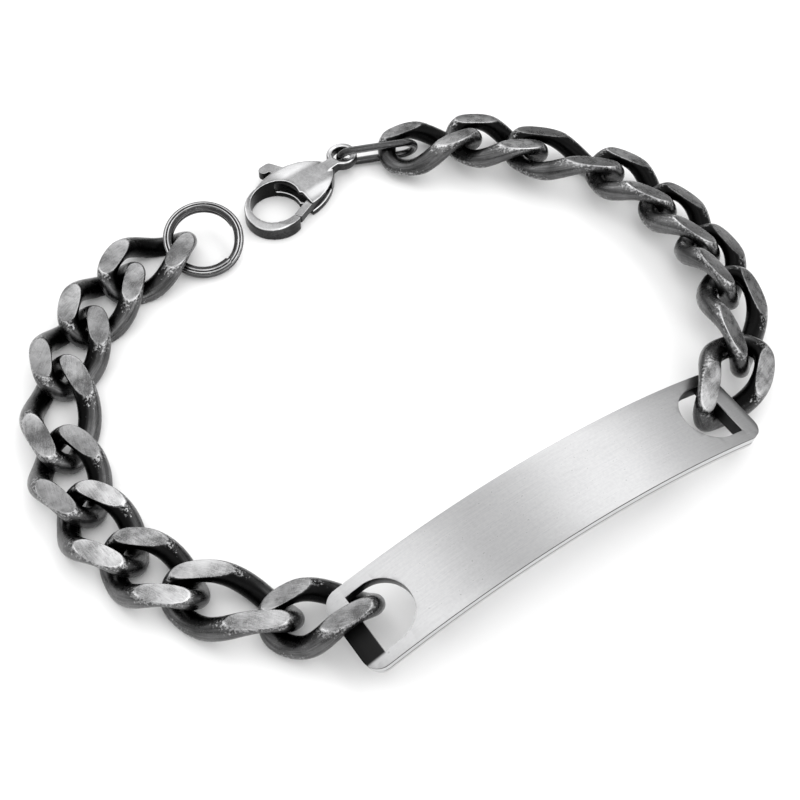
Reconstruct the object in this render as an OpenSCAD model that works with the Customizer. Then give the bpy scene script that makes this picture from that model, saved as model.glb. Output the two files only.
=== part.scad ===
// Identity bracelet in steel, unfastened and lying flat.
// Millimetres, Z up. The origin is on the surface it lies on, under the middle of its box.

/* [Plate] */
// Length of the plate along its curve
plate_length = 50.1; // [49:0.1:52]
// Width of the plate
plate_width = 9.3; // [9:0.1:9.8]
// Thickness of the plate
plate_thickness = 1.5; // [1.3:0.05:1.5]
// Radius of the bend along the plate
plate_bend = 75; // [72:1:80]
// Radius of the plate's corners
plate_corner = 1.8; // [1.4:0.1:2.2]
// Bevel of the plate's long edges
plate_bevel = 0.2; // [0.1:0.05:0.3]
// Width of the bar between each hole and the plate's end
end_bar = 2.25; // [2.05:0.05:2.25]
// Width of the D-shaped holes, across the plate
hole_width = 6.8; // [6.7:0.1:7]
// Length of the D-shaped holes, along the plate
hole_length = 5.3; // [5.2:0.1:5.6]

/* [Chain] */
// Distance that a short link adds to the chain
short_pitch = 7.66; // [7.6:0.02:7.8]
// Distance that a long link adds to the chain
long_pitch = 9.86; // [9.8:0.02:10.2]
// Outside width of a link
link_width = 8.6; // [8.5:0.05:8.7]
// Height between a link's ground flats
link_height = 3.6; // [3.5:0.05:3.6]
// Wire thickness along a link's sides
side_wire = 2.5; // [2.4:0.02:2.5]
// Wire thickness at a link's ends
end_wire = 2.2; // [2.1:0.02:2.2]
// Twist of a link from its middle to each end, in degrees
link_twist = 48; // [47:0.5:49]

/* [End ring] */
// Outside diameter of the split ring
ring_outer = 9.25; // [9:0.05:9.5]
// Inside diameter of the split ring
ring_inner = 7.1; // [6.9:0.05:7.2]
// Thickness of the ring's wire, so half of the ring's height
ring_wire = 0.62; // [0.55:0.01:0.65]

/* [Clasp] */
// Height of the clasp lying flat
clasp_height = 2.9; // [2.8:0.05:3.2]
// Outside diameter of the eye
eye_outer = 3.7; // [3.5:0.05:3.8]
// Inside diameter of the eye
eye_inner = 2.2; // [2.1:0.05:2.3]
// Thickness of the lever
lever_thickness = 1.2; // [1:0.05:1.3]
// Diameter of the lever's pin
pin_diameter = 0.9; // [0.7:0.05:1]
// Outside length of the oval link that holds the clasp
oval_length = 10; // [9.8:0.05:10.2]
// Outside width of the oval link
oval_width = 4; // [3.9:0.05:4.1]
// Wire diameter of the oval link
oval_wire = 0.9; // [0.8:0.02:0.9]

/* [Hidden] */
$fn = 72;

eps = 0.01;
steel = "#b9bbbd";
dark_steel = "#6e7073";

// Plate: its middle on the surface, its heading, and the lean of its far side
plate_at = [15.1, -20.4];
plate_heading = 34.7;
plate_lean = 2.9;
// Height of the top of the plate's end bars
bar_top = 4.12;

// The second and the sixth link on each side are long
long_places = [1, 5];
// Where the first link's inner end lies, from the middle of the plate's end bar:
// [towards the plate's middle, towards its far side]
left_start = [1.863, 2.063];
right_start = [1.457, 1.388];
// Each step from one link's middle to the next: [length in mean pitches, direction]
left_steps = [
  [1.021, 169.7], [0.982, 156.7], [0.990, 138.7], [1.008, 121.2],
  [0.975, 103.5], [0.959, 89.3], [0.992, 69.2], [0.958, 52.2]
];
right_steps = [
  [0.976, 79.2], [0.956, 97.5], [0.943, 111.9], [1.046, 130.4],
  [1.028, 150.0], [0.964, 161.4], [1.044, 180.0]
];
// How each link lies, from the plate outwards:
// [lift off the surface, heading, dip of its outer end, lean of its left side]
left_poses = [
  [1.3, -176, 14, 11], [0.4, 162, 4, 8], [0.3, 146, 4, 5],
  [0.2, 128, 2, 4], [0.2, 111, 2, 4], [0, 98, 0, 0],
  [0.2, 76, 2, 4], [0.1, 60, 1, 2], [0.1, 42, 1, 2]
];
right_poses = [
  [2.1, 54, -6, 38], [2.4, 88, 1, 33], [2.0, 99, 8, 29],
  [1.4, 120, 1, 27], [1.3, 134, -1, 23], [1.2, 159, -1, 20],
  [1.1, 167, -3, 17], [0.8, -174, 6, 17]
];
// Ring: middle against the outer end of the last left link, then its three turns
ring_offset = [3.204, 0.837, 0.2];
ring_turn = [19, 4, 0];
// Oval link: middle against the outer end of the last right link, then its three turns
oval_offset = [-2.591, -0.15, -0.55];
oval_turn = [110, -2, 10];
// Clasp: its eye against the outer end of the last right link, and its heading
clasp_offset = [-6.841, -0.6];
clasp_heading = -137;

function unit(v) = v / norm(v);
function signed_pow(v, p) = sign(v) * pow(abs(v), p);
function heading_vector(angle) = [cos(angle), sin(angle)];

// A bar with a round-cornered section, turned about Z through an angle
module turned_wire(outer, inner, height, round, angle) {
  rotate_extrude(angle = angle)
    translate([inner / 2, -height / 2])
      rounded_box_2d((outer - inner) / 2, height, round);
}

module rounded_box_2d(width, height, round) {
  translate([round, 0])
    square([width - 2 * round, height]);
  translate([0, round])
    square([width, height - 2 * round]);
  for (x = [round, width - round], y = [round, height - round])
    translate([x, y])
      circle(r = round);
}

// CHAIN LINKS

side_r = side_wire / 2;
end_r = end_wire / 2;
// Extra room in a link beyond two wires of its neighbours
link_play = 0.6;
// How square a link's outline is: 2 is an ellipse
link_squareness = 2.5;
// How far a link is pressed flat
link_press = 0.87;
// Faces round a link's wire, and along it
side_count = 12;
short_ring_count = 26;
long_ring_count = 28;
// Half of the angle over which the wire's direction is taken
tangent_angle = 5;

// Middle line of a link's wire: a squared oval whose rails turn about the
// link's length, so that opposite corners rise
function wire_middle(t, reach, half) =
  let (
    x = reach * signed_pow(cos(t), 2 / link_squareness),
    y = half * signed_pow(sin(t), 2 / link_squareness),
    turn = -link_twist * sin(90 * x / reach)
  )
  [x, y * cos(turn), y * sin(turn)];

function wire_ring(t, reach, half) =
  let (
    middle = wire_middle(t, reach, half),
    ahead = wire_middle(t + tangent_angle, reach, half),
    behind = wire_middle(t - tangent_angle, reach, half),
    along = unit(ahead - behind),
    up = unit([0, 0, 1] - along * along.z),
    inward = cross(up, along),
    r = end_r + (side_r - end_r) * (1 - pow(middle.x / reach, 2))
  )
  [for (j = [0 : side_count - 1])
    let (
      q = 360 * j / side_count,
      p = middle + r * (cos(q) * inward + sin(q) * up)
    )
    [p.x, p.y, p.z * link_press]];

module link(pitch, ring_count) {
  reach = pitch / 2 + end_r + link_play / 2;
  half = link_width / 2 - side_r;
  points = [for (i = [0 : ring_count - 1])
    each wire_ring((i + 0.5) * 360 / ring_count, reach, half)];
  faces = [for (i = [0 : ring_count - 1], j = [0 : side_count - 1])
    let (
      a = i * side_count + j,
      b = i * side_count + (j + 1) % side_count,
      c = ((i + 1) % ring_count) * side_count + (j + 1) % side_count,
      d = ((i + 1) % ring_count) * side_count + j
    )
    each [[a, c, b], [a, d, c]]];
  intersection() {
    polyhedron(points, faces);
    cube([4 * reach, 4 * link_width, link_height], center = true);
  }
}

function is_long(i) = len(search(i, long_places)) > 0;
function pitch_of(i) = is_long(i) ? long_pitch : short_pitch;

// A point given from the middle of the plate's end bar: side is -1 on the left
function from_bar(side, start) =
  plate_at
    + side * (bar_reach - start[0]) * heading_vector(plate_heading)
    + start[1] * heading_vector(plate_heading + 90);
// Middle of a link on the surface, counted outwards from the plate
function link_place(side, i) =
  i == 0
    ? from_bar(side, side < 0 ? left_start : right_start)
      + short_pitch / 2 * heading_vector(poses(side)[0][1])
    : link_place(side, i - 1)
      + steps(side)[i - 1][0] * (pitch_of(i - 1) + pitch_of(i)) / 2
        * heading_vector(steps(side)[i - 1][1]);
function poses(side) = side < 0 ? left_poses : right_poses;
function steps(side) = side < 0 ? left_steps : right_steps;
function link_lift(side, i) = link_height / 2 + poses(side)[i][0];
// Outer end of a side's last link: [x, y, height of its middle]
function chain_end(side) =
  let (
    last = len(poses(side)) - 1,
    end = link_place(side, last) + pitch_of(last) / 2 * heading_vector(poses(side)[last][1])
  )
  [end.x, end.y, link_lift(side, last)];

module placed_link(side, number) {
  i = number - 1;
  pose = poses(side)[i];
  place = link_place(side, i);
  color(dark_steel)
    translate([place.x, place.y, link_lift(side, i)])
      rotate([pose[3], pose[2], pose[1]])
        link(pitch_of(i), is_long(i) ? long_ring_count : short_ring_count);
}

// PLATE, drawn with its top middle at the origin

arc_degrees = 180 / PI / plate_bend;
bar_angle = (plate_length - end_bar) / 2 * arc_degrees;
bar_reach = plate_bend * sin(bar_angle);
bar_drop = plate_bend * (1 - cos(bar_angle));

module plate_section() {
  top = plate_bend;
  low = plate_bend - plate_thickness;
  half = plate_width / 2;
  polygon([
    [low, -half + plate_bevel],
    [low + plate_bevel, -half],
    [top - plate_bevel, -half],
    [top, -half + plate_bevel],
    [top, half - plate_bevel],
    [top - plate_bevel, half],
    [low + plate_bevel, half],
    [low, half - plate_bevel]
  ]);
}

// Puts its children on the plate's curve, at a distance from the middle
module at_arc(distance) {
  translate([0, 0, -plate_bend])
    rotate([0, distance * arc_degrees, 0])
      translate([0, 0, plate_bend])
        children();
}

module plate_hole() {
  straight = hole_length - hole_width / 2;
  translate([0, 0, -2 * plate_thickness])
    linear_extrude(3 * plate_thickness) {
      translate([-straight, -hole_width / 2])
        square([straight, hole_width]);
      translate([-straight, 0])
        circle(d = hole_width);
    }
}

module corner_waste() {
  difference() {
    translate([0, 0, -2 * plate_thickness])
      cube([2 * plate_corner, 2 * plate_corner, 3 * plate_thickness]);
    translate([0, 0, -3 * plate_thickness])
      cylinder(r = plate_corner, h = 5 * plate_thickness);
  }
}

module id_plate() {
  sweep = plate_length * arc_degrees;
  color(steel)
    translate([plate_at.x, plate_at.y, bar_top + bar_drop])
      rotate([plate_lean, 0, plate_heading])
        difference() {
          translate([0, 0, -plate_bend])
            rotate([90, 0, 0])
              rotate([0, 0, 90 - sweep / 2])
                rotate_extrude(angle = sweep)
                  plate_section();
          for (turn = [0, 180])
            rotate([0, 0, turn]) {
              at_arc(plate_length / 2 - end_bar)
                plate_hole();
              for (flip = [0, 1])
                mirror([0, flip, 0])
                  at_arc(plate_length / 2 - plate_corner)
                    translate([0, plate_width / 2 - plate_corner, 0])
                      corner_waste();
            }
        }
}

// END RING: one wire that goes round twice

ring_round = 0.15;
// Gap between the ring's two turns
ring_gap = 0.04;
// The wire crosses from the lower turn to the upper one over this angle
crossing = 60;
// Where the crossing begins
crossing_start = -34;
// Angle between each end of the wire and the crossing
end_angle = 3;
// Angle by which the crossing runs into each turn
overlap_angle = 1;

module end_ring() {
  rise = (ring_wire + ring_gap) / 2;
  middle_r = (ring_outer + ring_inner) / 4;
  slope = atan(rise / (middle_r * sin(crossing / 2)));
  turn_angle = 360 - crossing - end_angle;
  color(dark_steel)
    translate(chain_end(-1) + ring_offset)
      rotate(ring_turn)
        rotate([0, 0, crossing_start]) {
          // lower turn, which ends where the crossing begins
          translate([0, 0, -rise])
            rotate([0, 0, crossing + end_angle])
              turned_wire(ring_outer, ring_inner, ring_wire, ring_round, turn_angle);
          // the crossing, a short arc that leans
          rotate([0, 0, crossing / 2])
            rotate([slope, 0, 0])
              rotate([0, 0, -crossing / 2 - overlap_angle])
                turned_wire(ring_outer, ring_inner, ring_wire, ring_round,
                  crossing + 2 * overlap_angle);
          // upper turn, which begins where the crossing ends
          translate([0, 0, rise])
            rotate([0, 0, crossing])
              turned_wire(ring_outer, ring_inner, ring_wire, ring_round, turn_angle);
        }
}

// OVAL LINK between the chain and the clasp

module connector() {
  half_width = (oval_width - oval_wire) / 2;
  half_straight = (oval_length - oval_width) / 2;
  color(dark_steel)
    translate(chain_end(1) + oval_offset)
      rotate(oval_turn)
        for (turn = [0, 180])
          rotate([0, 0, turn]) {
            translate([half_straight, 0, 0])
              rotate([0, 0, -90])
                rotate_extrude(angle = 180)
                  translate([half_width, 0])
                    circle(d = oval_wire);
            translate([-half_straight, half_width, 0])
              rotate([0, 90, 0])
                cylinder(d = oval_wire, h = 2 * half_straight);
          }
}

// CLASP, drawn with its eye at the origin and its hook towards +X

// Sides of the body: [x, y, radius] of the arcs and of the rounded hook
back_arc = [8.3, 4.75, 8];
front_arc = [7.7, -3.25, 7];
hook_arc = [11.35, 0.95, 3.6];
throat_arc = [10.95, 0.65, 2.95];
// Radius of the domed top, and the place of its highest point
dome_top = 20;
dome_x = 7.8;
eye_lift = 1.75;
eye_height = 1.4;
eye_round = 0.35;
neck_length = 2.2;
neck_width = 1.5;
// How far the neck is set off the eye's middle
neck_shift = 0.35;

pivot = [5.6, 1.6];
pin_gap = 0.03;
// Metal left above the pin's blind hole, and how deep the pin is sunk below
pin_cover = 0.55;
pin_sink = 0.15;
pin_top = clasp_height - pin_cover;

// Reach of the lever's gate from the pivot, and the gap left at its end
gate_reach = 5.3;
gate_gap = 0.08;
gate_width = 0.95;
gate_angle = 17;
hub_r = 1.3;
// Thumb nub: two round ends with a block between them
nub_from = [7.7, -4.5];
nub_length = 0.8;
nub_r = 0.62;
// The body's plates end here, and the hook's mouth begins
mouth = [7.9, 1.8];
// The slot for the lever lies between these, with a gap above and below it
slot_from = 3.9;
slot_to = 9.1;
lever_gap = 0.06;
slot_low = (clasp_height - lever_thickness) / 2 - lever_gap;
slot_high = (clasp_height + lever_thickness) / 2 + lever_gap;

module disc_2d(arc) {
  translate([arc[0], arc[1]])
    circle(r = arc[2]);
}

module body_outline() {
  difference() {
    union() {
      intersection() {
        disc_2d(back_arc);
        disc_2d(front_arc);
        translate([0, -hook_arc[0]])
          square([hook_arc[0], 2 * hook_arc[0]]);
      }
      disc_2d(hook_arc);
    }
    disc_2d(throat_arc);
    intersection() {
      disc_2d([pivot.x, pivot.y, gate_reach + gate_gap]);
      translate(mouth)
        square(gate_reach);
    }
  }
}

module clasp_frame() {
  eye = chain_end(1) + clasp_offset;
  translate([eye.x, eye.y, 0])
    rotate([0, 0, clasp_heading])
      children();
}

module clasp_body() {
  color(steel)
    clasp_frame()
      difference() {
        union() {
          intersection() {
            linear_extrude(clasp_height)
              body_outline();
            translate([dome_x, 0, clasp_height - dome_top])
              sphere(r = dome_top);
          }
          translate([0, 0, eye_lift])
            turned_wire(eye_outer, eye_inner, eye_height, eye_round, 360);
          translate([
            (eye_outer + eye_inner) / 4,
            neck_shift - neck_width / 2,
            eye_lift - eye_height / 2
          ])
            cube([neck_length, neck_width, eye_height]);
        }
        translate([slot_from, -hook_arc[0], slot_low])
          cube([slot_to - slot_from, 2 * hook_arc[0], slot_high - slot_low]);
        translate([pivot.x, pivot.y, -eps])
          cylinder(d = pin_diameter + 2 * pin_gap, h = pin_top + eps);
      }
}

// From the hub to the thumb nub, as wide as each of them
module lever_arm_2d() {
  reach = nub_from - pivot;
  across = unit([-reach.y, reach.x]);
  polygon([
    pivot + hub_r * across,
    pivot - hub_r * across,
    nub_from - nub_r * across,
    nub_from + nub_r * across
  ]);
}

module lever_blank() {
  intersection() {
    linear_extrude(lever_thickness) {
      translate(pivot)
        circle(r = hub_r);
      translate(pivot)
        rotate([0, 0, gate_angle])
          translate([0, hub_r - gate_width])
            square([2 * gate_reach, gate_width]);
      lever_arm_2d();
    }
    // the gate's end is round about the pivot, so that it clears the hook
    difference() {
      translate([0, -2 * gate_reach, -eps])
        cube([3 * gate_reach, 4 * gate_reach, lever_thickness + 2 * eps]);
      translate([pivot.x, pivot.y, -2 * eps])
        gate_end_waste();
    }
  }
}

module gate_end_waste() {
  difference() {
    translate([gate_reach / 2, 0, 0])
      cube([2 * gate_reach, 2 * gate_reach, lever_thickness + 4 * eps]);
    translate([0, 0, -eps])
      cylinder(r = gate_reach, h = lever_thickness + 6 * eps);
  }
}

module clasp_lever() {
  color(steel)
    clasp_frame()
      translate([0, 0, (clasp_height - lever_thickness) / 2])
        difference() {
          union() {
            lever_blank();
            for (x = [0, nub_length])
              translate([nub_from.x + x, nub_from.y, 0])
                cylinder(r = nub_r, h = lever_thickness);
            translate([nub_from.x, nub_from.y - nub_r, 0])
              cube([nub_length, 2 * nub_r, lever_thickness]);
          }
          translate([pivot.x, pivot.y, -eps])
            cylinder(d = pin_diameter + 2 * pin_gap, h = lever_thickness + 2 * eps);
        }
}

module clasp_pin() {
  color(steel)
    clasp_frame()
      translate([pivot.x, pivot.y, pin_sink])
        cylinder(d = pin_diameter, h = pin_top - pin_sink - pin_gap);
}

id_plate();
placed_link(-1, 1);  // left_link_1
placed_link(-1, 2);  // left_link_2
placed_link(-1, 3);  // left_link_3
placed_link(-1, 4);  // left_link_4
placed_link(-1, 5);  // left_link_5
placed_link(-1, 6);  // left_link_6
placed_link(-1, 7);  // left_link_7
placed_link(-1, 8);  // left_link_8
placed_link(-1, 9);  // left_link_9
placed_link(1, 1);  // right_link_1
placed_link(1, 2);  // right_link_2
placed_link(1, 3);  // right_link_3
placed_link(1, 4);  // right_link_4
placed_link(1, 5);  // right_link_5
placed_link(1, 6);  // right_link_6
placed_link(1, 7);  // right_link_7
placed_link(1, 8);  // right_link_8
end_ring();
connector();
clasp_body();
clasp_lever();
clasp_pin();
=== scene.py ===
from collections import namedtuple
from math import cos, exp, log, pi, radians, sin

import bmesh
import bpy
from mathutils import Euler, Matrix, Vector


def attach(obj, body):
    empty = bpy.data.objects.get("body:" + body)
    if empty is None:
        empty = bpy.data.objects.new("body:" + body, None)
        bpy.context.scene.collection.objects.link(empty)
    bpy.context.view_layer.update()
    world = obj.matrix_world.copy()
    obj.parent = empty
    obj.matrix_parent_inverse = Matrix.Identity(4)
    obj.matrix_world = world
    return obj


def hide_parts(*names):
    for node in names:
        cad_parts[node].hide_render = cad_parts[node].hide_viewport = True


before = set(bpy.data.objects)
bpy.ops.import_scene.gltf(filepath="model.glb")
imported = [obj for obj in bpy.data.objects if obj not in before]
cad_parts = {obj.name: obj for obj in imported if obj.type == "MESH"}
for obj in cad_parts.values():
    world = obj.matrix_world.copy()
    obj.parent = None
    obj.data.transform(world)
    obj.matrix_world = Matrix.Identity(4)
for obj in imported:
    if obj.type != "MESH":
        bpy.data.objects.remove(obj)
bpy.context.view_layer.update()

# Identity bracelet in steel, unfastened and lying flat: a brushed plate, a darkened curb
# chain, a split ring, an oval link and a lobster clasp.
# Sizes are in millimetres and angles in degrees, and the meshes are made in metres.
MM = 0.001

# Sizes of the plate

PLATE_LENGTH = 50.1
PLATE_WIDTH = 9.3
PLATE_THICKNESS = 1.5
# Radius of the bend along the plate
PLATE_BEND = 75
PLATE_CORNER = 1.8
PLATE_BEVEL = 0.13
# Bar between each D-shaped hole and the plate's end
END_BAR = 2.25
HOLE_WIDTH = 6.8
HOLE_LENGTH = 5.3
# Where a hole ends and starts, along the plate from its middle
HOLE_END = PLATE_LENGTH / 2 - END_BAR
HOLE_START = HOLE_END - HOLE_LENGTH

# Sizes of the chain links

SHORT_PITCH = 7.66
LONG_PITCH = 9.86
LINK_WIDTH = 8.6
# Height between a link's ground flats
LINK_HEIGHT = 3.6
# Radius of the wire along a link's sides and at its ends
SIDE_R = 1.25
END_R = 1.1
# Twist of a link from its middle to each end
LINK_TWIST = 48
# How square a link's outline is: 2 is an ellipse
LINK_SQUARENESS = 2.5
# How far a link is pressed flat before it is ground
LINK_PRESS = 0.87
# Extra room in a link beyond two wires of its neighbours
LINK_PLAY = 0.6

# Sizes of the end ring, one wire that goes round twice

RING_OUTER = 9.25
RING_INNER = 7.1
RING_WIRE = 0.62
# Gap between the ring's two turns
RING_GAP = 0.04
# A groove runs along the wire, this far outside its middle. Its depth is a share of the
# wire's thickness.
GROOVE_AT = 0.12
GROOVE_WIDTH = 0.09
GROOVE_DEPTH = 0.4

# Sizes of the oval link between the chain and the clasp

OVAL_LENGTH = 10
OVAL_WIDTH = 4
OVAL_WIRE = 0.9


# Layout on the surface

# Plate: its middle, its heading, the lean of its far side, and how high its end bars are
PLATE_AT = Vector((15.1, -20.4))
PLATE_HEADING = 34.7
PLATE_LEAN = 2.9
BAR_TOP = 4.12
BAR_ANGLE = (PLATE_LENGTH - END_BAR) / 2 / PLATE_BEND
BAR_REACH = PLATE_BEND * sin(BAR_ANGLE)
PLATE_TOP = BAR_TOP + PLATE_BEND * (1 - cos(BAR_ANGLE))

# The second and the sixth link on each side are long
LONG_PLACES = (1, 5)
# Where the first link's inner end lies, from the middle of the plate's end bar:
# towards the plate's middle, and towards its far side
LEFT_START = (1.863, 2.063)
RIGHT_START = (1.457, 1.388)
# Each step from one link's middle to the next: length in mean pitches, direction
LEFT_STEPS = [
    (1.021, 169.7), (0.982, 156.7), (0.990, 138.7), (1.008, 121.2),
    (0.975, 103.5), (0.959, 89.3), (0.992, 69.2), (0.958, 52.2),
]
RIGHT_STEPS = [
    (0.976, 79.2), (0.956, 97.5), (0.943, 111.9), (1.046, 130.4),
    (1.028, 150.0), (0.964, 161.4), (1.044, 180.0),
]
# How each link lies, from the plate outwards:
# lift off the surface, heading, dip of its outer end, lean of its left side
LEFT_POSES = [
    (1.3, -176, 14, 11), (0.4, 162, 4, 8), (0.3, 146, 4, 5),
    (0.2, 128, 2, 4), (0.2, 111, 2, 4), (0, 98, 0, 0),
    (0.2, 76, 2, 4), (0.1, 60, 1, 2), (0.1, 42, 1, 2),
]
RIGHT_POSES = [
    (2.1, 54, -6, 38), (2.4, 88, 1, 33), (2.0, 99, 8, 29),
    (1.4, 120, 1, 27), (1.3, 134, -1, 23), (1.2, 159, -1, 20),
    (1.1, 167, -3, 17), (0.8, -174, 6, 17),
]

Link = namedtuple("Link", "name pitch middle lean dip heading")


def turned(lean, dip, heading):
    return Euler((radians(lean), radians(dip), radians(heading)), "XYZ").to_matrix()


def heading_vector(angle):
    return Vector((cos(radians(angle)), sin(radians(angle))))


def pitch_of(i):
    return LONG_PITCH if i in LONG_PLACES else SHORT_PITCH


def lay_side(name, side, start, steps, poses):
    """A side's links, counted outwards from the plate. side is -1 on the left."""
    at = PLATE_AT + side * (BAR_REACH - start[0]) * heading_vector(PLATE_HEADING)
    at += start[1] * heading_vector(PLATE_HEADING + 90)
    at += SHORT_PITCH / 2 * heading_vector(poses[0][1])
    links = []
    for i, (lift, heading, dip, lean) in enumerate(poses):
        if i > 0:
            length, direction = steps[i - 1]
            at += length * (pitch_of(i - 1) + pitch_of(i)) / 2 * heading_vector(direction)
        middle = Vector((at.x, at.y, LINK_HEIGHT / 2 + lift))
        links.append(Link(f"{name}_link_{i + 1}", pitch_of(i), middle, lean, dip, heading))
    return links


def outer_end(link):
    """The outer end of a link, as high as its middle."""
    reach = link.pitch / 2 * heading_vector(link.heading)
    return link.middle + reach.to_3d()


LEFT_LINKS = lay_side("left", -1, LEFT_START, LEFT_STEPS, LEFT_POSES)
RIGHT_LINKS = lay_side("right", 1, RIGHT_START, RIGHT_STEPS, RIGHT_POSES)
LEFT_END = outer_end(LEFT_LINKS[-1])
RIGHT_END = outer_end(RIGHT_LINKS[-1])

# Middles of the end ring and the oval link, and the clasp's eye on the surface
RING_AT = LEFT_END + Vector((3.204, 0.837, 0.2))
RING_TURN = turned(19, 4, 0)
OVAL_AT = RIGHT_END + Vector((-2.591, -0.15, -0.55))
OVAL_TURN = turned(110, -2, 10)
CLASP_AT = RIGHT_END + Vector((-6.841, -0.6, -RIGHT_END.z))
CLASP_TURN = turned(0, 0, -137)


# Camera, with the photo's elevation, distance and field of view

ELEVATION = 53.24
DISTANCE = 172.64
LOOK_AT = Vector((-0.1, -3.2, 0))
FRAME_PIXELS = 800
FOCAL_PIXELS = 1596
SENSOR_WIDTH = 36


def place_camera():
    camera_data = bpy.data.cameras.new("camera")
    camera_data.sensor_width = SENSOR_WIDTH
    camera_data.lens = SENSOR_WIDTH * FOCAL_PIXELS / FRAME_PIXELS
    camera_data.clip_start = 0.01
    camera = bpy.data.objects.new("camera", camera_data)
    away = Vector((0, -cos(radians(ELEVATION)), sin(radians(ELEVATION))))
    camera.location = (LOOK_AT + away * DISTANCE) * MM
    camera.rotation_euler = (radians(90 - ELEVATION), 0, 0)
    bpy.context.scene.collection.objects.link(camera)
    bpy.context.scene.camera = camera


place_camera()


# Shader helpers


def node(tree, kind, **settings):
    made = tree.nodes.new(kind)
    for key, value in settings.items():
        setattr(made, key, value)
    return made


def connect(tree, value, socket):
    """Links an output to the socket, or sets a plain value on it."""
    if isinstance(value, bpy.types.NodeSocket):
        tree.links.new(value, socket)
    else:
        socket.default_value = value


def calculate(tree, operation, *values, clamp=False):
    made = node(tree, "ShaderNodeMath", operation=operation, use_clamp=clamp)
    for socket, value in zip(made.inputs, values):
        connect(tree, value, socket)
    return made.outputs[0]


def plus(tree, a, b):
    return calculate(tree, "ADD", a, b)


def minus(tree, a, b, clamp=False):
    return calculate(tree, "SUBTRACT", a, b, clamp=clamp)


def times(tree, a, b):
    return calculate(tree, "MULTIPLY", a, b)


def larger(tree, a, b):
    return calculate(tree, "MAXIMUM", a, b)


def sum_of(tree, *parts):
    """The sum of some values, each times its share."""
    total = times(tree, *parts[0])
    for value, share in parts[1:]:
        total = plus(tree, total, times(tree, value, share))
    return total


def remap(tree, value, span, to=(0.0, 1.0), smooth=False):
    """Takes the first end of span to the first of to, and the second to the second."""
    made = node(tree, "ShaderNodeMapRange")
    if smooth:
        made.interpolation_type = "SMOOTHSTEP"
    connect(tree, value, made.inputs["Value"])
    for label, end in zip(("From Min", "From Max", "To Min", "To Max"), (*span, *to)):
        connect(tree, end, made.inputs[label])
    return made.outputs["Result"]


def mix_colour(tree, factor, a, b):
    made = node(tree, "ShaderNodeMix", data_type="RGBA")
    for label, value in (("Factor", factor), ("A", a), ("B", b)):
        connect(tree, value, made.inputs[label])
    return made.outputs["Result"]


def parts_of(tree, vector):
    made = node(tree, "ShaderNodeSeparateXYZ")
    connect(tree, vector, made.inputs[0])
    return made.outputs


def along_way(tree, vector, way):
    """How far a vector points this way."""
    made = node(tree, "ShaderNodeVectorMath", operation="DOT_PRODUCT")
    connect(tree, vector, made.inputs[0])
    connect(tree, way, made.inputs[1])
    return made.outputs["Value"]


def in_units(tree, place, size):
    """The place counted in units of size, so that noise on it has marks of that size."""
    made = node(tree, "ShaderNodeVectorMath", operation="SCALE")
    connect(tree, place, made.inputs[0])
    connect(tree, calculate(tree, "DIVIDE", 1.0, size), made.inputs["Scale"])
    return made.outputs[0]


def noise(tree, place, detail, roughness=0.5):
    made = node(tree, "ShaderNodeTexNoise")
    made.inputs["Scale"].default_value = 1.0
    made.inputs["Detail"].default_value = detail
    made.inputs["Roughness"].default_value = roughness
    connect(tree, place, made.inputs["Vector"])
    return made.outputs["Fac"]


def grey(level):
    """A grey with a trace of blue."""
    return (level, level, level * 1.01, 1)


# Shader groups

# Most noise lies between these
NOISE_SPAN = (0.3, 0.7)


def group_tree(name, inputs, outputs):
    """A new group, the outputs of its input node, and the inputs of its output node."""
    tree = bpy.data.node_groups.new(name, "ShaderNodeTree")
    for label, kind, value in inputs:
        socket = tree.interface.new_socket(name=label, in_out="INPUT", socket_type=kind)
        if value is not None:
            socket.default_value = value
    for label in outputs:
        tree.interface.new_socket(name=label, in_out="OUTPUT", socket_type="NodeSocketFloat")
    return tree, node(tree, "NodeGroupInput").outputs, node(tree, "NodeGroupOutput").inputs


def grain_group():
    """Fine straight scratches along the first axis of the place."""
    tree, given, out = group_tree(
        "grain",
        [
            ("Place", "NodeSocketVector", None),
            ("Length", "NodeSocketFloat", 4.0),
            ("Width", "NodeSocketFloat", 0.08),
        ],
        ["Height", "Shade"],
    )
    density = node(tree, "ShaderNodeCombineXYZ")
    for axis, size in enumerate(("Length", "Width", "Width")):
        connect(tree, calculate(tree, "DIVIDE", 1.0, given[size]), density.inputs[axis])
    stretched = node(tree, "ShaderNodeVectorMath", operation="MULTIPLY")
    connect(tree, given["Place"], stretched.inputs[0])
    connect(tree, density.outputs[0], stretched.inputs[1])
    lines = noise(tree, stretched.outputs[0], detail=5.0, roughness=0.7)
    connect(tree, lines, out["Height"])
    connect(tree, remap(tree, lines, NOISE_SPAN), out["Shade"])
    return tree


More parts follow.
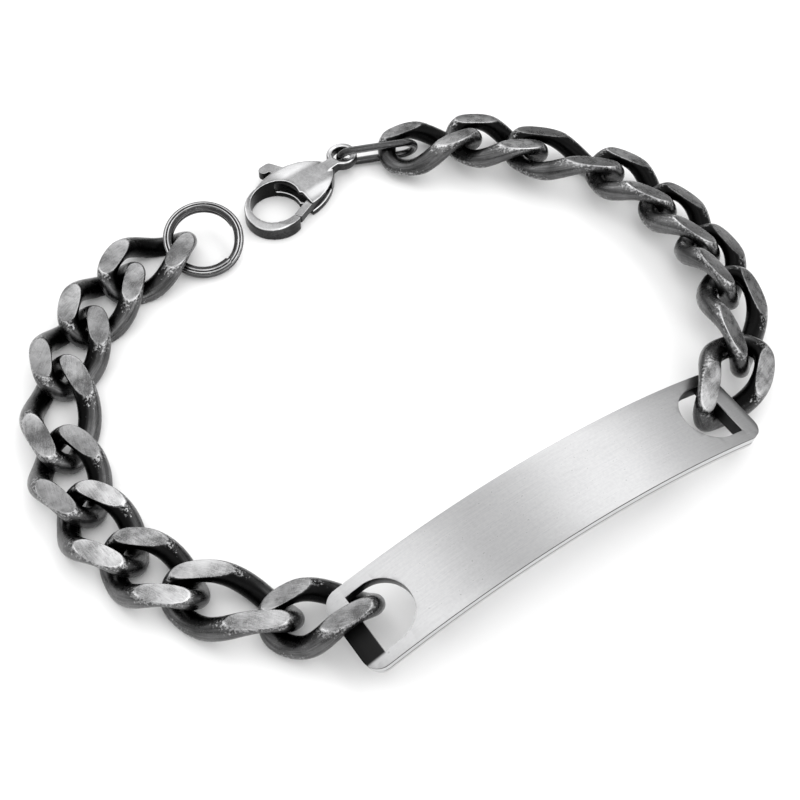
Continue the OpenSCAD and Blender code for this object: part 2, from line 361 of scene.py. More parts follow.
def ground_wear_group():
    """Where metal is ground bare: the flat itself, its rim, and broken specks that thin out below it
    on the outer side of the wire. The rim is partly rubbed metal and partly a painted highlight.
    Ground is the height above the ground flat before grinding, so it is negative beside the flat."""
    tree, given, out = group_tree(
        "ground_wear",
        [
            ("Ground", "NodeSocketFloat", 0.0),
            ("Outer", "NodeSocketFloat", 0.0),
            ("Place", "NodeSocketVector", None),
            ("Reach", "NodeSocketFloat", 1.3),
            ("Speck size", "NodeSocketFloat", 0.26),
        ],
        ["Flat", "Specks", "Rim", "Speck"],
    )
    speck_place = in_units(tree, given["Place"], given["Speck size"])
    speck = noise(tree, speck_place, detail=4.0, roughness=0.65)
    # the edge of a flat wanders a little
    edge = plus(tree, given["Ground"], remap(tree, speck, NOISE_SPAN, (-0.035, 0.035)))
    connect(tree, remap(tree, edge, (-0.02, 0.012), smooth=True), out["Flat"])
    # specks are where the noise is over a limit that rises with the depth below the flat
    depth = times(tree, given["Ground"], -1.0)
    limit = remap(tree, depth, (0.0, given["Reach"]), (0.44, 0.72))
    over = remap(tree, minus(tree, speck, limit), (0.0, 0.06), smooth=True)
    open_side = remap(tree, given["Outer"], (-0.5, 0.1), smooth=True)
    connect(tree, times(tree, over, open_side), out["Specks"])
    # the rim is a thin line just below the flat, mostly on the outer side: partly rubbed metal,
    # partly a painted highlight
    beside = calculate(tree, "ABSOLUTE", plus(tree, edge, 0.03))
    rim = remap(tree, beside, (0.03, 0.1), (1.0, 0.0), smooth=True)
    rim_side = remap(tree, given["Outer"], (-0.4, 0.4), (0.1, 1.0))
    connect(tree, times(tree, rim, rim_side), out["Rim"])
    connect(tree, speck, out["Speck"])
    return tree


def tarnish_group():
    """Slow uneven darkening."""
    tree, given, out = group_tree(
        "tarnish",
        [("Place", "NodeSocketVector", None), ("Size", "NodeSocketFloat", 3.0)],
        ["Shade"],
    )
    cloud = noise(tree, in_units(tree, given["Place"], given["Size"]), detail=4.0)
    connect(tree, remap(tree, cloud, NOISE_SPAN), out["Shade"])
    return tree


def band_group():
    """A soft band: 1 where Value is within Half of Middle, fading out over Soft."""
    tree, given, out = group_tree(
        "band",
        [
            ("Value", "NodeSocketFloat", 0.0),
            ("Middle", "NodeSocketFloat", 0.0),
            ("Half", "NodeSocketFloat", 0.1),
            ("Soft", "NodeSocketFloat", 0.1),
        ],
        ["Mask"],
    )
    away = calculate(tree, "ABSOLUTE", minus(tree, given["Value"], given["Middle"]))
    end = plus(tree, given["Half"], given["Soft"])
    connect(tree, remap(tree, away, (given["Half"], end), (1.0, 0.0), smooth=True), out["Mask"])
    return tree


GRAIN = grain_group()
GROUND_WEAR = ground_wear_group()
TARNISH = tarnish_group()
BAND = band_group()


def use_group(tree, group, **values):
    """Places a group with these values, and gives its outputs."""
    made = node(tree, "ShaderNodeGroup", node_tree=group)
    for label, value in values.items():
        connect(tree, value, made.inputs[label])
    return made.outputs


def grain(tree, place, length, width):
    return use_group(tree, GRAIN, Place=place, Length=length, Width=width)


def tarnish(tree, place, size):
    return use_group(tree, TARNISH, Place=place, Size=size)["Shade"]


def band(tree, value, middle, half, soft):
    return use_group(tree, BAND, Value=value, Middle=middle, Half=half, Soft=soft)["Mask"]


# Materials


def new_material(name):
    material = bpy.data.materials.new(name)
    material.use_nodes = True
    return material, material.node_tree, material.node_tree.nodes["Principled BSDF"]


def new_steel(name):
    material, tree, shader = new_material(name)
    shader.inputs["Metallic"].default_value = 1.0
    return material, tree, shader


def vector_of(tree, name):
    return node(tree, "ShaderNodeAttribute", attribute_name=name).outputs["Vector"]


def value_of(tree, name):
    return node(tree, "ShaderNodeAttribute", attribute_name=name).outputs["Fac"]


def bump(tree, shader, height, distance, strength):
    made = node(tree, "ShaderNodeBump")
    made.inputs["Distance"].default_value = distance * MM
    made.inputs["Strength"].default_value = strength
    connect(tree, height, made.inputs["Height"])
    connect(tree, made.outputs["Normal"], shader.inputs["Normal"])


def chain_steel():
    """Darkened wire with lighter ground flats and bare specks beside them, rims that are partly
    rubbed metal and partly a painted highlight, and painted sheen that makes some links' flats
    lighter or darker.
    """
    material, tree, shader = new_steel("chain_dark_steel")
    recess, outer_side = grey(0.005), grey(0.19)
    dull_flat, bright_flat = grey(0.08), grey(0.48)
    bare_speck, rim_wear_and_highlight = grey(0.34), grey(0.6)
    place = vector_of(tree, "place")
    outer = value_of(tree, "outer")
    flat_sheen = value_of(tree, "tone")
    ground = value_of(tree, "ground")
    wear = use_group(tree, GROUND_WEAR, Ground=ground, Outer=outer, Place=place)
    scratches = grain(tree, place, length=1.6, width=0.09)
    drawn = grain(tree, vector_of(tree, "wire"), length=2.6, width=0.14)
    mottle = tarnish(tree, place, size=0.8)
    slow = tarnish(tree, place, size=3.5)
    speckle = tarnish(tree, place, size=0.1)
    # dark recess to half-dark outer side, with light streaks along the wire
    patches = remap(tree, slow, (0, 1), (0.45, 1.1))
    streaks = times(tree, remap(tree, drawn["Shade"], (0, 1), (0.25, 1.0)), patches)
    side_amount = times(tree, remap(tree, outer, (-0.3, 0.9), smooth=True), streaks)
    colour = mix_colour(tree, side_amount, recess, outer_side)
    colour = mix_colour(tree, times(tree, wear["Specks"], 0.8), colour, bare_speck)
    # the less polished part of a flat is finely speckled
    tone = sum_of(tree, (scratches["Shade"], 0.35), (mottle, 0.15), (slow, 0.5))
    speckled = times(tree, speckle, remap(tree, slow, (0.2, 0.7), (0.5, 0.08)))
    # painted sheen: each link's flats are painted lighter or darker by its listed sheen
    tone = times(tree, minus(tree, tone, speckled, clamp=True), flat_sheen)
    flat = mix_colour(tree, tone, dull_flat, bright_flat)
    colour = mix_colour(tree, wear["Flat"], colour, flat)
    # the rim of a flat is partly rubbed metal and partly a painted highlight, shown in places and
    # weaker on a link with less painted sheen
    painted_light_mask = times(tree, wear["Rim"], remap(tree, slow, (0.3, 0.8), (0.05, 0.7)))
    painted_light_mask = times(tree, painted_light_mask, remap(tree, flat_sheen, (0.3, 1.0), (0.35, 1.0)))
    colour = mix_colour(tree, painted_light_mask, colour, rim_wear_and_highlight)
    connect(tree, colour, shader.inputs["Base Color"])
    connect(tree, remap(tree, mottle, (0, 1), (0.22, 0.36)), shader.inputs["Roughness"])
    height = sum_of(tree, (scratches["Height"], 0.35), (wear["Speck"], 0.5), (mottle, 0.9))
    bump(tree, shader, height, distance=0.02, strength=0.8)
    return material


def plate_steel():
    """Steel brushed along the plate, with a painted bright reflection on its side, painted shade in
    its holes and on the left bar under the first link, and painted highlights round the holes' top
    edges.
    """
    material, tree, shader = new_steel("plate_brushed_steel")
    dull, bright, pitted = grey(0.28), grey(0.37), grey(0.12)
    hole_wall_shade, hole_edge_highlight = grey(0.03), grey(0.7)
    side, dark_reflection_line, bar_link_shade = grey(0.6), grey(0.02), grey(0.012)
    place = vector_of(tree, "place")
    along, over, height = parts_of(tree, place)
    lines = grain(tree, place, length=5.0, width=0.1)
    slow = tarnish(tree, place, size=6.0)
    fine = tarnish(tree, place, size=0.35)
    amount = sum_of(tree, (lines["Shade"], 0.5), (slow, 0.2), (fine, 0.3))
    colour = mix_colour(tree, amount, dull, bright)
    pits = remap(tree, fine, (0.93, 1.02))
    colour = mix_colour(tree, times(tree, pits, 0.5), colour, pitted)
    # painted shade on the holes' walls, and a painted highlight as a bright line round their top edge
    hole = value_of(tree, "hole")
    wall = times(tree, hole, remap(tree, height, (-0.16, -0.08), (1.0, 0.0)))
    colour = mix_colour(tree, wall, colour, hole_wall_shade)
    edge_line = times(tree, hole, band(tree, height, middle=-0.065, half=0.025, soft=0.03))
    colour = mix_colour(tree, edge_line, colour, hole_edge_highlight)
    # painted reflection: the outer side is painted bright, with a painted dark reflection line under
    # the top edge and, on the near side, one towards its foot
    outside = remap(tree, hole, (0.0, 0.1), (1.0, 0.0))
    side_reflection = times(tree, outside, remap(tree, height, (-0.24, -0.2), (1.0, 0.0)))
    colour = mix_colour(tree, side_reflection, colour, side)
    near_side = -PLATE_WIDTH / 2
    near = remap(tree, over, (near_side + 0.25, near_side + 0.05))
    foot_line = times(tree, band(tree, height, middle=-1.05, half=0.05, soft=0.05), near)
    top_line = band(tree, height, middle=-0.18, half=0.07, soft=0.05)
    dark_lines = times(tree, larger(tree, top_line, foot_line), outside)
    colour = mix_colour(tree, dark_lines, colour, dark_reflection_line)
    # painted shade: the left bar is painted near black where the first link lies over it
    on_left_bar = remap(tree, along, (0.08 - HOLE_END, -0.05 - HOLE_END))
    painted_light_mask = times(tree, band(tree, over, middle=-1.4, half=1.95, soft=0.35), on_left_bar)
    colour = mix_colour(tree, painted_light_mask, colour, bar_link_shade)
    connect(tree, colour, shader.inputs["Base Color"])
    shader.inputs["Roughness"].default_value = 0.34
    # the brushing spreads light across itself and keeps it tight along itself
    shader.inputs["Anisotropic"].default_value = 0.7
    connect(tree, vector_of(tree, "across"), shader.inputs["Tangent"])
    marks = plus(tree, lines["Height"], times(tree, fine, 0.5))
    bump(tree, shader, marks, distance=0.006, strength=0.6)
    return material


def ring_steel(name, dark, light):
    """Dark wire with painted shade in its groove and along the inner part of its top, and a painted
    highlight line on each side of the groove.
    """
    material, tree, shader = new_steel(name)
    highlight_line, groove_shade, inner_shade, bare_speck = grey(0.55), grey(0.008), grey(0.03), grey(0.5)
    place = vector_of(tree, "place")
    across = parts_of(tree, place)[1]
    lines = grain(tree, place, length=7.0, width=0.1)
    slow = tarnish(tree, place, size=3.0)
    speckle = tarnish(tree, place, size=0.16)
    uneven = remap(tree, slow, (0, 1), (0.35, 0.9))
    amount = times(tree, remap(tree, lines["Shade"], (0.25, 0.85)), uneven)
    colour = mix_colour(tree, amount, grey(dark), grey(light))
    # painted highlights: a bright line on each side of the groove
    inner_line = band(tree, across, middle=GROOVE_AT - 0.15, half=0.02, soft=0.06)
    outer_line = band(tree, across, middle=GROOVE_AT + 0.16, half=0.02, soft=0.06)
    painted_light_mask = times(tree, larger(tree, inner_line, outer_line), uneven)
    colour = mix_colour(tree, painted_light_mask, colour, highlight_line)
    # painted shade in the groove and along the inner part of the top
    in_groove = band(tree, across, middle=GROOVE_AT, half=0.04, soft=0.05)
    colour = mix_colour(tree, in_groove, colour, groove_shade)
    inside = band(tree, across, middle=-0.3, half=0.08, soft=0.1)
    colour = mix_colour(tree, inside, colour, inner_shade)
    speck = remap(tree, speckle, (0.8, 0.95))
    colour = mix_colour(tree, times(tree, speck, 0.3), colour, bare_speck)
    connect(tree, colour, shader.inputs["Base Color"])
    connect(tree, remap(tree, slow, (0, 1), (0.16, 0.26)), shader.inputs["Roughness"])
    bump(tree, shader, lines["Height"], distance=0.014, strength=0.8)
    return material


def clasp_steel():
    """Satin casting with a paler top, sides painted darker as painted shade, painted highlights along
    the dome's long edges and on the cast edges, and painted shade on the throat's wall.
    """
    material, tree, shader = new_steel("clasp_satin_steel")
    dull_top, bright_top, dome_highlight = grey(0.13), grey(0.24), grey(0.5)
    side_shade_deep, side_shade_pale = grey(0.015), grey(0.1)
    edge_highlight, throat_shade = grey(0.55), grey(0.012)
    place = vector_of(tree, "place")
    along, over, _ = parts_of(tree, place)
    facing = value_of(tree, "facing")
    lines = grain(tree, place, length=0.6, width=0.14)
    slow = tarnish(tree, place, size=2.2)
    fine = tarnish(tree, place, size=0.3)
    top = mix_colour(tree, sum_of(tree, (slow, 0.6), (fine, 0.4)), dull_top, bright_top)
    # painted highlights: the dome is painted bright along both of its long edges, up to the hook
    before_hook = remap(tree, along, (7.5, 9.5), (1.0, 0.0), smooth=True)
    far_highlight = times(tree, band(tree, over, middle=-2.0, half=0.5, soft=1.0), 0.75)
    near_highlight = times(tree, band(tree, over, middle=2.7, half=0.2, soft=0.7), 0.6)
    painted_light_mask = times(tree, larger(tree, far_highlight, near_highlight), before_hook)
    top = mix_colour(tree, painted_light_mask, top, dome_highlight)
    side = mix_colour(tree, times(tree, slow, lines["Shade"]), side_shade_deep, side_shade_pale)
    # painted shade: the less a face points up, the more it takes the darker side colour
    colour = mix_colour(tree, remap(tree, facing, (0.15, 0.85), smooth=True), side, top)
    # a painted highlight on the cast edges, and painted shade on the throat's wall
    edge = band(tree, facing, middle=0.8, half=0.05, soft=0.12)
    colour = mix_colour(tree, edge, colour, edge_highlight)
    upright = remap(tree, facing, (0.3, 0.6), (1.0, 0.0))
    throat = times(tree, value_of(tree, "throat"), upright)
    colour = mix_colour(tree, throat, colour, throat_shade)
    connect(tree, colour, shader.inputs["Base Color"])
    connect(tree, remap(tree, lines["Shade"], (0, 1), (0.24, 0.36)), shader.inputs["Roughness"])
    bump(tree, shader, lines["Height"], distance=0.01, strength=0.7)
    return material


CHAIN_STEEL = chain_steel()
PLATE_STEEL = plate_steel()
RING_STEEL = ring_steel("ring_dark_steel", dark=0.02, light=0.3)
OVAL_STEEL = ring_steel("oval_dark_steel", dark=0.015, light=0.16)
CLASP_STEEL = clasp_steel()


# Mesh helpers


def finish_piece(node_name, mesh, material, body="bracelet"):
    """Shows the mesh in place of its node."""
    piece = bpy.data.objects.new(node_name + "_steel", mesh)
    bpy.context.scene.collection.objects.link(piece)
    mesh.materials.append(material)
    mesh.shade_smooth()
    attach(piece, body)
    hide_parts(node_name)


def mesh_from(node_name, points, faces, turn, at):
    """A mesh of points in millimetres, turned and then moved."""
    mesh = bpy.data.meshes.new(node_name + "_steel")
    mesh.from_pydata([(turn @ point + at) * MM for point in points], [], faces)
    return mesh


def add_vector(mesh, name, values):
    layer = mesh.attributes.new(name, "FLOAT_VECTOR", "POINT")
    layer.data.foreach_set("vector", [c for value in values for c in value])


def add_float(mesh, name, values):
    layer = mesh.attributes.new(name, "FLOAT", "POINT")
    layer.data.foreach_set("value", values)


def tube_faces(rings, sides, closed=True):
    faces = []
    for i in range(rings if closed else rings - 1):
        this, ahead = i * sides, (i + 1) % rings * sides
        for j in range(sides):
            k = (j + 1) % sides
            faces.append((this + k, ahead + k, ahead + j, this + j))
    return faces


def signed_power(v, p):
    return (abs(v) ** p) * (1 if v >= 0 else -1)


# Links

WIRE_RINGS, WIRE_SIDES = 150, 60
# Half of the angle over which the wire's direction is taken, in radians
TANGENT_ANGLE = 0.06
# Width of the round edge of a ground flat, and how many of these its rounding reaches
FLAT_EDGE, EDGE_REACH = 0.022, 30
# A flat is lower away from its middle, by this much at 1 mm and with the square of the
# distance, down to a limit
FLAT_CROWN, CROWN_LIMIT = 0.011, 0.12
# Before grinding, points this far over the ground height belong to a flat for certain
WELL_OVER = 0.05
# How fast the marks change with a link's height, so that no two links have the same
MARK_SHIFT = 7

# Painted sheen: links whose flats are painted lighter or darker than the others, for how brightly
# each flat mirrors the light
LINK_FLAT_SHEEN = {
    "left_link_1": 0.9,
    "left_link_3": 1.15,
    "left_link_4": 1.15,
    "left_link_5": 0.55,
    "left_link_7": 0.5,
    "left_link_8": 0.8,
    "left_link_9": 0.7,
    "right_link_1": 1.35,
    "right_link_3": 0.4,
    "right_link_4": 0.5,
    "right_link_5": 0.95,
    "right_link_6": 0.35,
    "right_link_7": 1.1,
    "right_link_8": 0.9,
}

LinkShape = namedtuple("LinkShape", "points faces ground outer wire")


def wire_middle(t, reach, half):
    """Middle line of a link's wire: a squared oval whose rails turn about its length."""
    x = reach * signed_power(cos(t), 2 / LINK_SQUARENESS)
    y = half * signed_power(sin(t), 2 / LINK_SQUARENESS)
    turn = -radians(LINK_TWIST) * sin(pi / 2 * x / reach)
    return Vector((x, y * cos(turn), y * sin(turn)))


def ground_flat(z, top):
    """z pressed to the ground height, with a narrow round edge."""
    edges_below = (top - abs(z)) / FLAT_EDGE
    if edges_below > EDGE_REACH:
        return z
    soft = log(1 + exp(edges_below)) * FLAT_EDGE if edges_below > -EDGE_REACH else 0.0
    return (top - soft) * (1 if z >= 0 else -1)


def flat_middles(points, top):
    """The middle of each of a link's four flats, by the signs of x and z."""
    flats = {}
    for p in points:
        if abs(p.z) > top + WELL_OVER:
            flats.setdefault((p.x > 0, p.z > 0), []).append(p)
    return {signs: sum(flat, Vector()) / len(flat) for signs, flat in flats.items()}


def link_shape(pitch):
    """A link about its own middle. ground is how far each point stood over the flat
    before grinding, outer goes from 1 outside the wire to -1 inside the link, and wire
    is the place along the wire and about its middle line."""
    reach = pitch / 2 + END_R + LINK_PLAY / 2
    half = LINK_WIDTH / 2 - SIDE_R
    ring_angle = 2 * pi / WIRE_RINGS
    raw, outer, wire = [], [], []
    run = 0.0
    for i in range(WIRE_RINGS):
        t = (i + 0.5) * ring_angle
        middle = wire_middle(t, reach, half)
        ahead = wire_middle(t + TANGENT_ANGLE, reach, half)
        behind = wire_middle(t - TANGENT_ANGLE, reach, half)
        along = (ahead - behind).normalized()
        up = (Vector((0, 0, 1)) - along * along.z).normalized()
        inward = up.cross(along)
        r = END_R + (SIDE_R - END_R) * (1 - (middle.x / reach) ** 2)
        run += (middle - wire_middle(t - ring_angle, reach, half)).length
        for j in range(WIRE_SIDES):
            q = 2 * pi * j / WIRE_SIDES
            p = middle + r * (cos(q) * inward + sin(q) * up)
            raw.append(Vector((p.x, p.y, p.z * LINK_PRESS)))
            outer.append(-cos(q))
            wire.append(Vector((run, r * cos(q), r * sin(q))))
    top = LINK_HEIGHT / 2
    middles = flat_middles(raw, top)
    points, ground = [], []
    for p in raw:
        off_middle = p.xy - middles[(p.x > 0, p.z > 0)].xy
        crown = min(FLAT_CROWN * off_middle.length_squared, CROWN_LIMIT)
        points.append(Vector((p.x, p.y, ground_flat(p.z, top - crown))))
        ground.append(abs(p.z) - top + crown)
    return LinkShape(points, tube_faces(WIRE_RINGS, WIRE_SIDES), ground, outer, wire)


LINK_SHAPES = {pitch: link_shape(pitch) for pitch in (SHORT_PITCH, LONG_PITCH)}


def build_link(link):
    shape = LINK_SHAPES[link.pitch]
    turn = turned(link.lean, link.dip, link.heading)
    mesh = mesh_from(link.name, shape.points, shape.faces, turn, link.middle)
    # each link's marks differ, so its place starts somewhere else
    shift = Vector((link.middle.x, link.middle.y, MARK_SHIFT * link.middle.z))
    add_vector(mesh, "place", [point + shift for point in shape.points])
    add_vector(mesh, "wire", [point + shift for point in shape.wire])
    add_float(mesh, "ground", shape.ground)
    add_float(mesh, "outer", shape.outer)
    # the painted sheen of the link's flats
    add_float(mesh, "tone", [LINK_FLAT_SHEEN.get(link.name, 1.0)] * len(shape.points))
    finish_piece(link.name, mesh, CHAIN_STEEL)


for link in LEFT_LINKS + RIGHT_LINKS:
    build_link(link)


# Plate

# Points round a corner and round the end of a hole, and cuts along the plate
CORNER_STEPS, HOLE_STEPS, PLATE_STEPS = 14, 40, 66
BEVEL_STEPS = 3
# How far round a hole its wall and edge are looked for
HOLE_MARGIN = 0.2
SHARP_ANGLE = 40
SAME_POINT = 1e-5


def arc_points(x, y, r, start, stop, steps):
    angles = [radians(start + (stop - start) * k / steps) for k in range(steps + 1)]
    return [(x + r * cos(angle), y + r * sin(angle)) for angle in angles]


def plate_outline():
    along, over = PLATE_LENGTH / 2 - PLATE_CORNER, PLATE_WIDTH / 2 - PLATE_CORNER
    corners = ((along, over), (-along, over), (-along, -over), (along, -over))
    points = []
    for k, (x, y) in enumerate(corners):
        points += arc_points(x, y, PLATE_CORNER, 90 * k, 90 * (k + 1), CORNER_STEPS)
    return points


def hole_outline(side):
    """A D with its straight side at the end bar. side is -1 on the left."""
    r = HOLE_WIDTH / 2
    round_end = arc_points(HOLE_START + r, 0, r, 90, 270, HOLE_STEPS)
    return [(side * x, y) for x, y in [(HOLE_END, -r), (HOLE_END, r)] + round_end]


def is_rim(edge):
    """Whether the edge joins a flat face to a wall."""
    tilts = sorted(abs(face.normal.z) for face in edge.link_faces)
    return len(tilts) == 2 and tilts[0] < 0.5 and tilts[1] > 0.9


def flat_plate():
    """The plate before it is bent, with its top at zero height."""
    bm = bmesh.new()
    for outline in (plate_outline(), hole_outline(1), hole_outline(-1)):
        verts = [bm.verts.new((x, y, 0)) for x, y in outline]
        for a, b in zip(verts, verts[1:] + verts[:1]):
            bm.edges.new((a, b))
    bmesh.ops.remove_doubles(bm, verts=bm.verts, dist=SAME_POINT)
    bmesh.ops.triangle_fill(bm, edges=bm.edges[:], use_beauty=True, normal=(0, 0, 1))
    for k in range(1, PLATE_STEPS):
        x = PLATE_LENGTH * (k / PLATE_STEPS - 0.5)
        geom = bm.verts[:] + bm.edges[:] + bm.faces[:]
        bmesh.ops.bisect_plane(bm, geom=geom, dist=SAME_POINT, plane_co=(x, 0, 0), plane_no=(1, 0, 0))
    bmesh.ops.dissolve_degenerate(bm, dist=10 * SAME_POINT, edges=bm.edges[:])
    made = bmesh.ops.extrude_face_region(bm, geom=bm.faces[:])
    for vert in made["geom"]:
        if isinstance(vert, bmesh.types.BMVert):
            vert.co.z = -PLATE_THICKNESS
    bmesh.ops.recalc_face_normals(bm, faces=bm.faces[:])
    bm.normal_update()
    bmesh.ops.bevel(
        bm, geom=[edge for edge in bm.edges if is_rim(edge)],
        offset=PLATE_BEVEL, offset_type="OFFSET", segments=BEVEL_STEPS,
        profile=0.5, affect="EDGES", clamp_overlap=True,
    )
    return bm


def beside_hole(s, y):
    along = HOLE_START - HOLE_MARGIN < abs(s) < HOLE_END + HOLE_MARGIN
    return along and abs(y) < HOLE_WIDTH / 2 + HOLE_MARGIN


def build_plate():
    mesh = bpy.data.meshes.new("id_plate_steel")
    bm = flat_plate()
    bm.to_mesh(mesh)
    bm.free()
    turn = turned(PLATE_LEAN, 0, PLATE_HEADING)
    at = Vector((PLATE_AT.x, PLATE_AT.y, PLATE_TOP))
    places, hole = [], []
    for vert in mesh.vertices:
        s, y, z = vert.co
        places.append((s, y, z))
        hole.append(1.0 if beside_hole(s, y) else 0.0)
        angle, r = s / PLATE_BEND, PLATE_BEND + z
        bent = Vector((r * sin(angle), y, r * cos(angle) - PLATE_BEND))
        vert.co = (turn @ bent + at) * MM
    across = turn @ Vector((0, 1, 0))
    add_vector(mesh, "place", places)
    add_vector(mesh, "across", [across] * len(places))
    add_float(mesh, "hole", hole)
    finish_piece("id_plate", mesh, PLATE_STEEL)
    mesh.set_sharp_from_angle(angle=radians(SHARP_ANGLE))


build_plate()


# End ring

# The wire crosses from the lower turn to the upper one over this angle, from this start
CROSSING, CROSSING_START = 60, -34
# Angle between each end of the wire and the crossing
END_ANGLE = 3
RING_STEPS, RING_SIDES = 260, 64
# How square the wire's section is: 1 is round
RING_SQUARENESS = 0.8
# The wire's ends narrow to this share of its width over two steps, and lose up to this
# share of their height
END_TAPER, END_DROP = 0.35, 0.2


def ring_section():
    """A box with round corners and a groove along its top and bottom."""
    half_width, half_height = (RING_OUTER - RING_INNER) / 4, RING_WIRE / 2
    section = []
    for j in range(RING_SIDES):
        q = 2 * pi * j / RING_SIDES
        dx = half_width * signed_power(cos(q), RING_SQUARENESS)
        dz = half_height * signed_power(sin(q), RING_SQUARENESS)
        in_groove = exp(-(((dx - GROOVE_AT) / GROOVE_WIDTH) ** 2))
        section.append((dx, dz * (1 - GROOVE_DEPTH * in_groove)))
    return section


def build_end_ring():
    section = ring_section()
    middle_r = (RING_OUTER + RING_INNER) / 4
    rise = (RING_WIRE + RING_GAP) / 2
    first, last = CROSSING + END_ANGLE, 2 * 360 - END_ANGLE
    points, places = [], []
    for k in range(RING_STEPS + 1):
        angle = first + (last - first) * k / RING_STEPS
        # the lower turn ends at 360, and the upper one begins past the crossing
        crossed = min(1, max(0, (angle - 360) / CROSSING))
        z = -rise + 2 * rise * crossed ** 2 * (3 - 2 * crossed)
        a = radians(angle + CROSSING_START)
        taper = min(1, END_TAPER * (1 + min(k, RING_STEPS - k)))
        low = 1 - END_DROP * (1 - taper)
        for dx, dz in section:
            r = middle_r + dx * taper
            points.append(Vector((r * cos(a), r * sin(a), z + dz * low)))
            places.append((a * middle_r, dx, z + dz))
    faces = tube_faces(RING_STEPS + 1, RING_SIDES, closed=False)
    faces.append(tuple(range(RING_SIDES)))
    faces.append(tuple(reversed(range(RING_STEPS * RING_SIDES, (RING_STEPS + 1) * RING_SIDES))))
    mesh = mesh_from("end_ring", points, faces, RING_TURN, RING_AT)
    add_vector(mesh, "place", places)
    finish_piece("end_ring", mesh, RING_STEEL)


build_end_ring()


# Oval link

OVAL_SIDES, BEND_STEPS, STRAIGHT_STEPS = 30, 32, 14
# Length of wire that one step of the path counts as, for its marks
OVAL_STEP = 0.25


def oval_path():
    """Points on the wire's middle line, each with the direction away from the oval."""
    half_width = (OVAL_WIDTH - OVAL_WIRE) / 2
    half_straight = (OVAL_LENGTH - OVAL_WIDTH) / 2
    path = []
    for side in (1, -1):
        for k in range(BEND_STEPS + 1):
            a = -pi / 2 + pi * k / BEND_STEPS
            out = Vector((side * cos(a), side * sin(a), 0))
            path.append((Vector((side * half_straight, 0, 0)) + half_width * out, out))
        for k in range(1, STRAIGHT_STEPS):
            x = side * half_straight * (1 - 2 * k / STRAIGHT_STEPS)
            path.append((Vector((x, side * half_width, 0)), Vector((0, side, 0))))
    return path


def build_connector():
    path = oval_path()
    points, places = [], []
    for i, (middle, out) in enumerate(path):
        for j in range(OVAL_SIDES):
            q = 2 * pi * j / OVAL_SIDES
            points.append(middle + OVAL_WIRE / 2 * (cos(q) * out + sin(q) * Vector((0, 0, 1))))
            places.append((i * OVAL_STEP, cos(q), sin(q)))
    mesh = mesh_from("connector", points, tube_faces(len(path), OVAL_SIDES), OVAL_TURN, OVAL_AT)
    add_vector(mesh, "place", places)
    finish_piece("connector", mesh, OVAL_STEEL)


build_connector()


# Clasp

# The hook's throat: its middle from the clasp's eye, its radius, and how far into the
# metal its wall is looked for
THROAT_AT, THROAT_R, THROAT_MARGIN = Vector((10.95, 0.65)), 2.95, 0.15
# The top falls away to both sides of the clasp's middle line: the heights from which and
# up to which this grows, how much it is at 1 mm from the line, and how far out it goes on
CROWN_FOOT, CLASP_TOP, CLASP_CROWN, CROWN_REACH = 2.0, 2.9, 0.04, 4.2


def softened(node_name, fineness, passes):
    """A copy of a node's mesh in millimetres, with the soft edges of a casting."""
    mesh = bpy.data.meshes.new(node_name + "_rough")
    bm = bmesh.new()
    bm.from_mesh(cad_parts[node_name].data)
    bmesh.ops.scale(bm, vec=(1 / MM, 1 / MM, 1 / MM), verts=bm.verts)
    bm.to_mesh(mesh)
    bm.free()
    mesh.materials.clear()
    rough = bpy.data.objects.new(node_name + "_rough", mesh)
    bpy.context.scene.collection.objects.link(rough)
    cast = rough.modifiers.new("cast", "REMESH")
    cast.mode = "VOXEL"
    cast.voxel_size = fineness
    tumbled = rough.modifiers.new("tumbled", "SMOOTH")
    tumbled.factor = 0.5
    tumbled.iterations = passes
    depsgraph = bpy.context.evaluated_depsgraph_get()
    soft = bpy.data.meshes.new_from_object(rough.evaluated_get(depsgraph))
    soft.name = node_name + "_steel"
    bpy.data.objects.remove(rough)
    return soft


def build_casting(node_name, fineness, passes, body="bracelet"):
    mesh = softened(node_name, fineness, passes)
    back = CLASP_TURN.transposed()
    for vert in mesh.vertices:
        off_middle = min(abs((back @ (vert.co - CLASP_AT)).y), CROWN_REACH)
        up = min(1, max(0, (vert.co.z - CROWN_FOOT) / (CLASP_TOP - CROWN_FOOT)))
        vert.co.z -= CLASP_CROWN * up * off_middle ** 2
    mesh.update()
    places = [back @ (vert.co - CLASP_AT) for vert in mesh.vertices]
    in_throat = [(place.xy - THROAT_AT).length < THROAT_R + THROAT_MARGIN for place in places]
    add_vector(mesh, "place", places)
    add_float(mesh, "facing", [vert.normal.z for vert in mesh.vertices])
    add_float(mesh, "throat", [1.0 if inside else 0.0 for inside in in_throat])
    for vert in mesh.vertices:
        vert.co = vert.co * MM
    finish_piece(node_name, mesh, CLASP_STEEL, body)


build_casting("clasp_body", fineness=0.09, passes=26)
build_casting("clasp_lever", fineness=0.07, passes=20, body="clasp_lever")
build_casting("clasp_pin", fineness=0.05, passes=3)


# Floor and light

# Half of the floor's width, in metres
FLOOR_HALF = 30
FLOOR_WHITE = 0.77
# The tent's wall goes from dim to bright between these heights of the look into it
WALL_HEIGHTS, WALL_LIGHT = (0.0, 0.55), (0.3, 1.3)
# The wall is dark low down behind on the right: its middle, how many degrees from there
# it starts and is full, its height, and how much of the light is gone
GAP_AZIMUTH, GAP_ELEVATION = 62, 2
GAP_ANGLES, GAP_HEIGHTS, GAP_DEPTH = (50, 25), (0.12, 0.36), 0.85
# The way in which the look that the plate mirrors turns, from its left end to its right
SWEEP = (0.733, 0.5, -0.46)
# Soft lights across that way: place along it, half width of the core, half width of the
# whole, and amount
STRIPS = [
    (-0.55, 0.03, 0.19, 1.7),
    (0.12, 0.05, 0.33, 1.7),
]
STRIP_HEIGHTS = (0.15, 0.4)


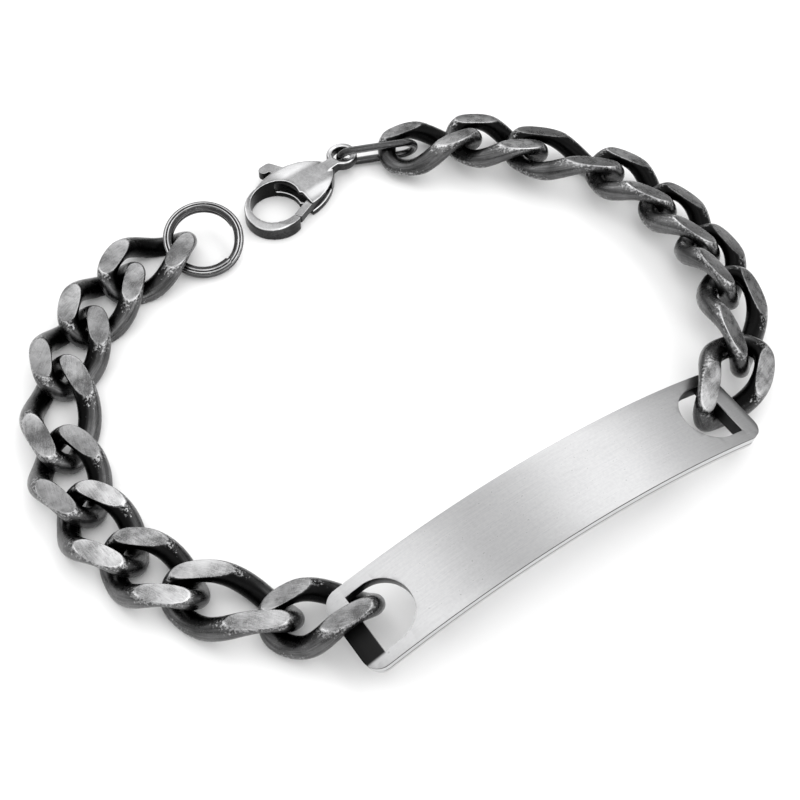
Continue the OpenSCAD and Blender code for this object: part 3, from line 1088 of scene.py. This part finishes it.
def lay_floor():
    mesh = bpy.data.meshes.new("floor")
    signs = ((-1, -1), (1, -1), (1, 1), (-1, 1))
    corners = [(x * FLOOR_HALF, y * FLOOR_HALF, 0) for x, y in signs]
    mesh.from_pydata(corners, [], [(0, 1, 2, 3)])
    material, _, shader = new_material("floor_paper")
    shader.inputs["Base Color"].default_value = (FLOOR_WHITE, FLOOR_WHITE, FLOOR_WHITE, 1)
    shader.inputs["Roughness"].default_value = 0.9
    shader.inputs["Specular IOR Level"].default_value = 0.2
    mesh.materials.append(material)
    floor = bpy.data.objects.new("floor", mesh)
    bpy.context.scene.collection.objects.link(floor)


def dark_gap(tree, direction, height):
    """The share of the light that is gone, for each look into the tent."""
    flat = heading_vector(GAP_AZIMUTH) * cos(radians(GAP_ELEVATION))
    middle = (flat.x, flat.y, sin(radians(GAP_ELEVATION)))
    start, full = (cos(radians(angle)) for angle in GAP_ANGLES)
    near = remap(tree, along_way(tree, direction, middle), (start, full), (0, GAP_DEPTH), smooth=True)
    return times(tree, near, remap(tree, height, GAP_HEIGHTS, (1.0, 0.0), smooth=True))


def strip_light(tree, sweep, above_floor, middle, core, edge, amount):
    """A long soft light across the plate's length."""
    away = calculate(tree, "ABSOLUTE", minus(tree, sweep, middle))
    return times(tree, remap(tree, away, (edge, core), (0, amount), smooth=True), above_floor)


def hang_tent():
    """A white tent that lights the bracelet from all round."""
    world = bpy.data.worlds.new("studio")
    bpy.context.scene.world = world
    world.use_nodes = True
    tree = world.node_tree
    direction = node(tree, "ShaderNodeTexCoord").outputs["Generated"]
    height = parts_of(tree, direction)["Z"]
    light = remap(tree, height, WALL_HEIGHTS, WALL_LIGHT, smooth=True)
    light = times(tree, light, minus(tree, 1.0, dark_gap(tree, direction, height)))
    sweep = along_way(tree, direction, SWEEP)
    above_floor = remap(tree, height, STRIP_HEIGHTS, smooth=True)
    for strip in STRIPS:
        light = plus(tree, light, strip_light(tree, sweep, above_floor, *strip))
    background = tree.nodes["Background"]
    background.inputs["Color"].default_value = (1, 1, 1, 1)
    connect(tree, light, background.inputs["Strength"])


def set_view():
    view = bpy.context.scene.view_settings
    view.view_transform = "Standard"
    view.look = "None"
    view.exposure = 0
    view.gamma = 1


lay_floor()
hang_tent()
set_view()
